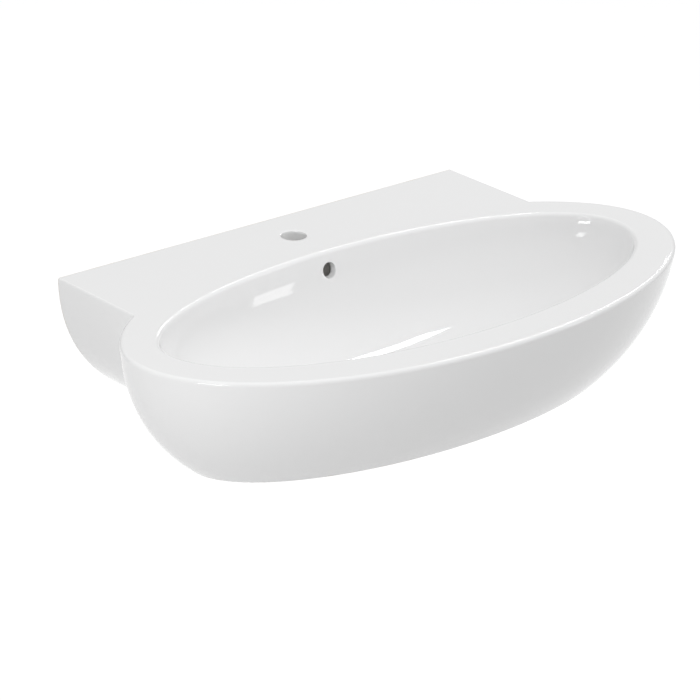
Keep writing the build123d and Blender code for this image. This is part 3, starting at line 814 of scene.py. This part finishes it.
# Bolt turned along its axis: machine thread to the wall, a collar, wood thread and a point beyond it.
def makeHangerBolt(side, centreX):
    turn = ringTurns(40)
    start, wall = fixing["shankY"]
    crest, bevel = fixing["thread"][0], fixing["endBevel"]
    radius, along = threadLoops(fixing["thread"], start + bevel, wall - 1.5, turn)
    screwRadius, screwAlong = threadLoops(fixing["screwThread"], *fixing["screwY"], turn, perPitch=12)
    end, screwCrest = fixing["screwY"][1], fixing["screwThread"][0]
    share = np.linspace(0.06, 1, 12)[:, None]
    tip = screwCrest + (fixing["tipRadius"] - screwCrest) * share ** 0.8 + 0 * turn
    flatRow = np.ones_like(turn)[None]
    radii = np.concatenate([(crest - bevel) * flatRow, radius, crest * flatRow, (crest - 0.9) * flatRow,
                            screwRadius, tip])
    alongs = np.concatenate([start * flatRow, along, (wall - 0.5) * flatRow, wall * flatRow, screwAlong,
                             end + (fixing["tipY"] - end) * share + 0 * turn])
    shell = Shell()
    addCapped(shell, onFixing(centreX)(radii, turn[None], alongs))
    return finishShell(shell, "threaded_bolt_" + side, "hanger_bolt_" + side)


# Hexagon nut on the bolt's machine thread.
def makeFixingNut(side, centreX):
    shell = Shell()
    addNut(shell, onFixing(centreX), fixing["nutFlats"], fixing["thread"], *fixing["nutY"],
           fixing["nutBevel"], ringTurns(60))
    return finishShell(shell, "threaded_nut_" + side, "fixing_nut_" + side)


spring = makeSpring()
metalStands = [(makeWaste(), "waste_body"), (makeBackNut(), "back_nut"), (makeCap(), "plug_cap"),
               (spring, "plunger_spring")]
for side, centreX in (("left", -basin["fixingX"]), ("right", basin["fixingX"])):
    metalStands += [(makeHangerBolt(side, centreX), "hanger_bolt_" + side),
                    (makeFixingNut(side, centreX), "fixing_nut_" + side)]

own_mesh(spring)


# finishes

# Material with nodes, its tree and its shader.
def newMaterial(name):
    material = bpy.data.materials.new(name)
    material.use_nodes = True
    return material, material.node_tree, material.node_tree.nodes["Principled BSDF"]


# Math node whose inputs are sockets or numbers. Returns its output.
def mathNode(tree, operation, first, second=None, clamp=False):
    node = tree.nodes.new("ShaderNodeMath")
    node.operation = operation
    node.use_clamp = clamp
    for socket, value in zip(node.inputs, (first, second)):
        if isinstance(value, bpy.types.NodeSocket):
            tree.links.new(value, socket)
        elif value is not None:
            socket.default_value = value
    return node.outputs[0]


# Product of two sockets or numbers.
def times(tree, first, second):
    return mathNode(tree, "MULTIPLY", first, second)


# Sum of two sockets or numbers.
def plus(tree, first, second):
    return mathNode(tree, "ADD", first, second)


# A value's range carried smoothly over to another range.
def between01(tree, value, low, high, fromLow=0.0, fromHigh=1.0):
    node = tree.nodes.new("ShaderNodeMapRange")
    node.interpolation_type = "SMOOTHSTEP"
    tree.links.new(value, node.inputs["Value"])
    for name, number in (("From Min", fromLow), ("From Max", fromHigh), ("To Min", low), ("To Max", high)):
        node.inputs[name].default_value = number
    return node.outputs["Result"]


# Mix of two colours, each a socket or three numbers.
def mixColours(tree, factor, first, second):
    node = tree.nodes.new("ShaderNodeMix")
    node.data_type = "RGBA"
    tree.links.new(factor, node.inputs[0])
    for socket, value in ((node.inputs[6], first), (node.inputs[7], second)):
        if isinstance(value, bpy.types.NodeSocket):
            tree.links.new(value, socket)
        else:
            socket.default_value = (*value, 1)
    return node.outputs[2]


# Noise of the given scale and detail over a place.
def noise(tree, place, scale, detail=2.0):
    node = tree.nodes.new("ShaderNodeTexNoise")
    node.inputs["Scale"].default_value = scale
    node.inputs["Detail"].default_value = detail
    tree.links.new(place, node.inputs["Vector"])
    return node.outputs["Fac"]


# Bump of a height in metres, laid over another bump.
def bump(tree, height, distance, below=None):
    node = tree.nodes.new("ShaderNodeBump")
    node.inputs["Distance"].default_value = distance
    tree.links.new(height, node.inputs["Height"])
    if below is not None:
        tree.links.new(below, node.inputs["Normal"])
    return node.outputs["Normal"]


# Coordinates of the object itself, in metres.
def objectPlace(tree):
    return tree.nodes.new("ShaderNodeTexCoord").outputs["Object"]


# Distance from the drain's axis and height, so that a noise on them runs round the piece as a lathe's marks do.
def roundDrain(tree, place):
    apart = tree.nodes.new("ShaderNodeSeparateXYZ")
    tree.links.new(place, apart.inputs[0])
    acrossDrain, fromDrain = apart.outputs["X"], mathNode(tree, "SUBTRACT", apart.outputs["Y"], drainY * mm)
    squares = plus(tree, times(tree, acrossDrain, acrossDrain), times(tree, fromDrain, fromDrain))
    together = tree.nodes.new("ShaderNodeCombineXYZ")
    tree.links.new(mathNode(tree, "SQRT", squares), together.inputs["X"])
    tree.links.new(apart.outputs["Z"], together.inputs["Z"])
    return together.outputs[0]


# scales are per metre, heights and places in metres
glaze = {
    "colour": (0.862, 0.862, 0.862), "cloud": (0.853, 0.854, 0.856),
    "cloudScale": 9.0, "cloudRange": (0.3, 0.7), "roughness": (0.02, 0.04),
    "wave": (11.0, 0.00006), "peel": (420.0, 0.000004),
    "thinColour": (0.80, 0.79, 0.765), "thinRoughness": 0.34, "thinRange": (0.3, 0.8),
    "thinUneven": 60.0, "runs": (60.0, 0.00025),
    "bareColour": (0.75, 0.72, 0.67), "bareDark": (0.68, 0.645, 0.59), "bareScale": 28.0,
    "bareRoughness": 0.86,
    "bareGrain": (1400.0, 0.00004), "bareEdge": 0.0018, "bareEdgeScale": 45.0,
    "bareWall": (-0.0013, -0.0008), "bareFoot": (0.0004, 0.0011),
}


# Glossy glaze with a faint wave and orange peel, sprayed thinner inside the underside, ground bare on the foot
# and on the face to the wall, where the glaze ends in an uneven line.
def makeGlaze():
    material, tree, shader = newMaterial("whiteGlaze")
    place = objectPlace(tree)
    apart = tree.nodes.new("ShaderNodeSeparateXYZ")
    tree.links.new(place, apart.inputs[0])
    attribute = tree.nodes.new("ShaderNodeAttribute")
    attribute.attribute_name = "thinGlaze"
    uneven = mathNode(tree, "SUBTRACT", noise(tree, place, glaze["bareEdgeScale"], 4.0), 0.5)
    uneven = times(tree, uneven, glaze["bareEdge"] * 2)
    toWall = between01(tree, plus(tree, apart.outputs["Y"], uneven), 0.0, 1.0, *glaze["bareWall"])
    footLow, footHigh = glaze["bareFoot"]
    toFoot = between01(tree, plus(tree, apart.outputs["Z"], uneven), 1.0, 0.0,
                       baseZ * mm + footLow, baseZ * mm + footHigh)
    bare = mathNode(tree, "MAXIMUM", toWall, toFoot)
    sprayed = plus(tree, attribute.outputs["Fac"], times(tree, uneven, glaze["thinUneven"]))
    thin = between01(tree, sprayed, 0.0, 1.0, *glaze["thinRange"])

    cloud = noise(tree, place, glaze["cloudScale"], 3.0)
    shiny = mixColours(tree, cloud, glaze["colour"], glaze["cloud"])
    body = mixColours(tree, noise(tree, place, glaze["bareScale"], 5.0), glaze["bareColour"], glaze["bareDark"])
    glazed = mixColours(tree, thin, shiny, glaze["thinColour"])
    tree.links.new(mixColours(tree, bare, glazed, body), shader.inputs["Base Color"])
    gloss = between01(tree, cloud, *glaze["roughness"], *glaze["cloudRange"])
    spread = plus(tree, times(tree, thin, glaze["thinRoughness"]), gloss)
    lifted = times(tree, bare, glaze["bareRoughness"])
    tree.links.new(mathNode(tree, "MAXIMUM", spread, lifted), shader.inputs["Roughness"])

    surface = None
    for layer, detail, share in (("wave", 1.0, None), ("peel", 1.0, None), ("runs", 3.0, thin),
                                 ("bareGrain", 3.0, bare)):
        scale, depth = glaze[layer]
        relief = noise(tree, place, scale, detail)
        surface = bump(tree, relief if share is None else times(tree, relief, share), depth, surface)
    tree.links.new(surface, shader.inputs["Normal"])
    return material


# colour and the patches in it, metal or not, roughness from and to, patch and grain scale per metre, grain
# height in metres, and the height of the lathe's marks round the drain
finishes = {
    "chrome": ((0.80, 0.81, 0.82), (0.74, 0.75, 0.765), 1.0, (0.05, 0.13), 60.0, 1500.0, 0.0000015, 0.000003),
    "brass": ((0.80, 0.61, 0.33), (0.62, 0.43, 0.20), 1.0, (0.24, 0.42), 45.0, 1800.0, 0.000006, 0.00002),
    "zinc_steel": ((0.70, 0.71, 0.73), (0.60, 0.60, 0.57), 1.0, (0.28, 0.46), 90.0, 2600.0, 0.000012, 0.0),
    "spring_steel": ((0.60, 0.60, 0.61), (0.47, 0.46, 0.44), 1.0, (0.22, 0.36), 260.0, 3500.0, 0.000006, 0.0),
    "black_rubber": ((0.03, 0.03, 0.032), (0.062, 0.062, 0.064), 0.0, (0.62, 0.84), 70.0, 2200.0, 0.00003, 0.0),
    "grey_nylon": ((0.50, 0.51, 0.52), (0.44, 0.45, 0.46), 0.0, (0.42, 0.58), 80.0, 1600.0, 0.00002, 0.0),
    "white_nylon": ((0.84, 0.84, 0.81), (0.77, 0.77, 0.73), 0.0, (0.38, 0.52), 80.0, 1600.0, 0.000015, 0.0),
}
marksScale = 2400.0


# Base and roughness follow soft patches, the grain and the lathe's marks are bumps.
def makeFinish(slot):
    colour, patch, metallic, roughness, patchScale, grainScale, grainHeight, marks = finishes[slot]
    first, *rest = slot.split("_")
    material, tree, shader = newMaterial(first + "".join(word.capitalize() for word in rest) + "Finish")
    place = objectPlace(tree)
    patches = noise(tree, place, patchScale, 4.0)
    fine = noise(tree, place, grainScale, 3.0)
    worn = between01(tree, patches, 0.0, 1.0, 0.35, 0.7)
    tree.links.new(mixColours(tree, worn, colour, patch), shader.inputs["Base Color"])
    mixed = plus(tree, times(tree, worn, 0.7), times(tree, fine, 0.3))
    tree.links.new(between01(tree, mixed, *roughness, 0.15, 0.85), shader.inputs["Roughness"])
    shader.inputs["Metallic"].default_value = metallic
    surface = bump(tree, fine, grainHeight)
    if marks:
        surface = bump(tree, noise(tree, roundDrain(tree, place), marksScale, 1.0), marks, surface)
    tree.links.new(surface, shader.inputs["Normal"])
    return material


# Each piece and each CAD node that stays gets the finish of its slot.
def dress():
    made = {slot: makeFinish(slot) for slot in finishes}
    made["white_glaze"] = makeGlaze()
    ceramic.data.materials.append(made["white_glaze"])
    for piece, node in metalStands:
        piece.data.materials.append(made[slotOf[node]])
    replaced = {"basin_body"} | {node for _, node in metalStands}
    for node, kept in frame["nodes"].items():
        if node not in replaced:
            kept.data.materials.clear()
            kept.data.materials.append(made[slotOf[node]])


dress()
print("finishes:", len(finishes) + 1)


# camera, floor and light

view = {
    "position": (-2829.33, -3615.22, 1798.18),
    "right": (0.77299, -0.63438, 0.00664),
    "down": (-0.23892, -0.30079, -0.92328),
    "forward": (0.58771, 0.7121, -0.38408),
    "lens": 187.87, "sensor": 36.0,
}
camera = bpy.data.objects.new("camera", bpy.data.cameras.new("camera"))
bpy.context.scene.collection.objects.link(camera)
bpy.context.scene.camera = camera
camera.data.lens = view["lens"]
camera.data.sensor_width = view["sensor"]
camera.data.clip_end = 50
turnMatrix = Matrix([view["right"], [-v for v in view["down"]], [-v for v in view["forward"]]]).transposed()
camera.matrix_world = Matrix.Translation(Vector(view["position"]) * mm) @ turnMatrix.normalized().to_4x4()

# a pale floor that stays white to the camera and keeps the object's shadow, a soft world, four lamps

studio = {
    "floorZ": -775.0, "floorHalf": 9000.0, "floorColour": (0.495, 0.495, 0.495), "floorLift": 0.56,
    "worldLevel": 0.034,
    # soft parts of the sky: azimuth, elevation, strength
    "skyLobes": [(0.0, 30.0, 0.18), (60.0, 55.0, 1.27), (180.0, 30.0, 0.486), (240.0, 30.0, 0.427),
                 (300.0, 5.0, 0.13)],
    "lobePower": 2.0,
    "target": (0.0, -290.0, 0.0),
    # azimuth from the room's side toward +X, elevation, distance, width, height, radiance, roll
    "lamps": {
        "stripLamp": (125.7, 36.0, 2600.0, 125.0, 1350.0, 15.0, 1.3),
        "leftLamp": (-63.5, 5.0, 2400.0, 800.0, 400.0, 15.7, 0.0),
        "highLamp": (-66.2, 43.5, 2600.0, 500.0, 500.0, 5.2, -10.9),
        "windowLamp": (49.5, 8.6, 2200.0, 320.0, 620.0, 3.1, -15.0),
    },
}


# 1 for rays from the camera and for mirror and glass rays, 0 for the light on surfaces.
def seenDirectly(tree):
    path = tree.nodes.new("ShaderNodeLightPath")
    mirrored = plus(tree, path.outputs["Is Glossy Ray"], path.outputs["Is Transmission Ray"])
    return mathNode(tree, "ADD", path.outputs["Is Camera Ray"], mirrored, clamp=True)


# Floor: diffuse, plus a glow that only the camera and mirror rays see, so that it looks white and still takes
# and gives soft light. It is clear from below, so that the underside can be seen.
def makeFloor():
    half, z = studio["floorHalf"] * mm, studio["floorZ"] * mm
    corners = [(-half, -half, z), (half, -half, z), (half, half, z), (-half, half, z)]
    mesh = bpy.data.meshes.new("studio_floor")
    mesh.from_pydata(corners, [], [(0, 1, 2, 3)])
    floor = bpy.data.objects.new("studio_floor", mesh)
    bpy.context.scene.collection.objects.link(floor)
    material = bpy.data.materials.new("paleFloor")
    material.use_nodes = True
    tree = material.node_tree
    tree.nodes.clear()
    diffuse = tree.nodes.new("ShaderNodeBsdfDiffuse")
    diffuse.inputs["Color"].default_value = (*studio["floorColour"], 1)
    lift = tree.nodes.new("ShaderNodeEmission")
    tree.links.new(times(tree, seenDirectly(tree), studio["floorLift"]), lift.inputs["Strength"])
    both = tree.nodes.new("ShaderNodeAddShader")
    clear = tree.nodes.new("ShaderNodeBsdfTransparent")
    sided = tree.nodes.new("ShaderNodeMixShader")
    output = tree.nodes.new("ShaderNodeOutputMaterial")
    for source, socket in ((diffuse.outputs[0], both.inputs[0]), (lift.outputs[0], both.inputs[1]),
                           (tree.nodes.new("ShaderNodeNewGeometry").outputs["Backfacing"], sided.inputs[0]),
                           (both.outputs[0], sided.inputs[1]), (clear.outputs[0], sided.inputs[2]),
                           (sided.outputs[0], output.inputs["Surface"])):
        tree.links.new(source, socket)
    mesh.materials.append(material)
    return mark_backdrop(floor)


# Unit vector to a place in the studio, azimuth from the room's side toward +X.
def toward(azimuth, elevation):
    azimuth, elevation = math.radians(azimuth), math.radians(elevation)
    return Vector((math.sin(azimuth) * math.cos(elevation), -math.cos(azimuth) * math.cos(elevation),
                   math.sin(elevation)))


# Soft light: a level plus lobes, each the cosine from its middle raised to a power; white where it is seen.
def makeWorld():
    world = bpy.data.worlds.new("studio")
    bpy.context.scene.world = world
    world.use_nodes = True
    tree = world.node_tree
    background = tree.nodes["Background"]
    background.inputs["Color"].default_value = (1, 1, 1, 1)
    direction = tree.nodes.new("ShaderNodeTexCoord")
    total = studio["worldLevel"]
    for azimuth, elevation, strength in studio["skyLobes"]:
        cosine = tree.nodes.new("ShaderNodeVectorMath")
        cosine.operation = "DOT_PRODUCT"
        tree.links.new(direction.outputs["Generated"], cosine.inputs[0])
        cosine.inputs[1].default_value = toward(azimuth, elevation)
        ahead = mathNode(tree, "MAXIMUM", cosine.outputs["Value"], 0.0)
        lobe = times(tree, mathNode(tree, "POWER", ahead, studio["lobePower"]), strength)
        total = plus(tree, lobe, total)
    path = tree.nodes.new("ShaderNodeLightPath")
    mix = tree.nodes.new("ShaderNodeMix")
    tree.links.new(path.outputs["Is Camera Ray"], mix.inputs["Factor"])
    tree.links.new(total, mix.inputs["A"])
    mix.inputs["B"].default_value = 1.0
    tree.links.new(mix.outputs["Result"], background.inputs["Strength"])


# Rectangular lamp that faces the basin; its power gives the stated radiance.
def makeLamp(name, azimuth, elevation, distance, width, height, radiance, roll):
    away = toward(azimuth, elevation)
    light = bpy.data.lights.new(name, "AREA")
    light.shape = "RECTANGLE"
    light.size, light.size_y = width * mm, height * mm
    light.energy = radiance * math.pi * light.size * light.size_y
    lamp = bpy.data.objects.new(name, light)
    bpy.context.scene.collection.objects.link(lamp)
    lamp.location = (Vector(studio["target"]) + away * distance) * mm
    turned = away.to_track_quat("Z", "Y").to_matrix() @ Matrix.Rotation(math.radians(roll), 3, "Z")
    lamp.rotation_euler = turned.to_euler()
    lamp.visible_camera = False


makeFloor()
makeWorld()
for lampName, values in studio["lamps"].items():
    makeLamp(lampName, *values)
bpy.context.scene.view_settings.view_transform = "Standard"
print("studio: floor, world and", len(studio["lamps"]), "lamps")
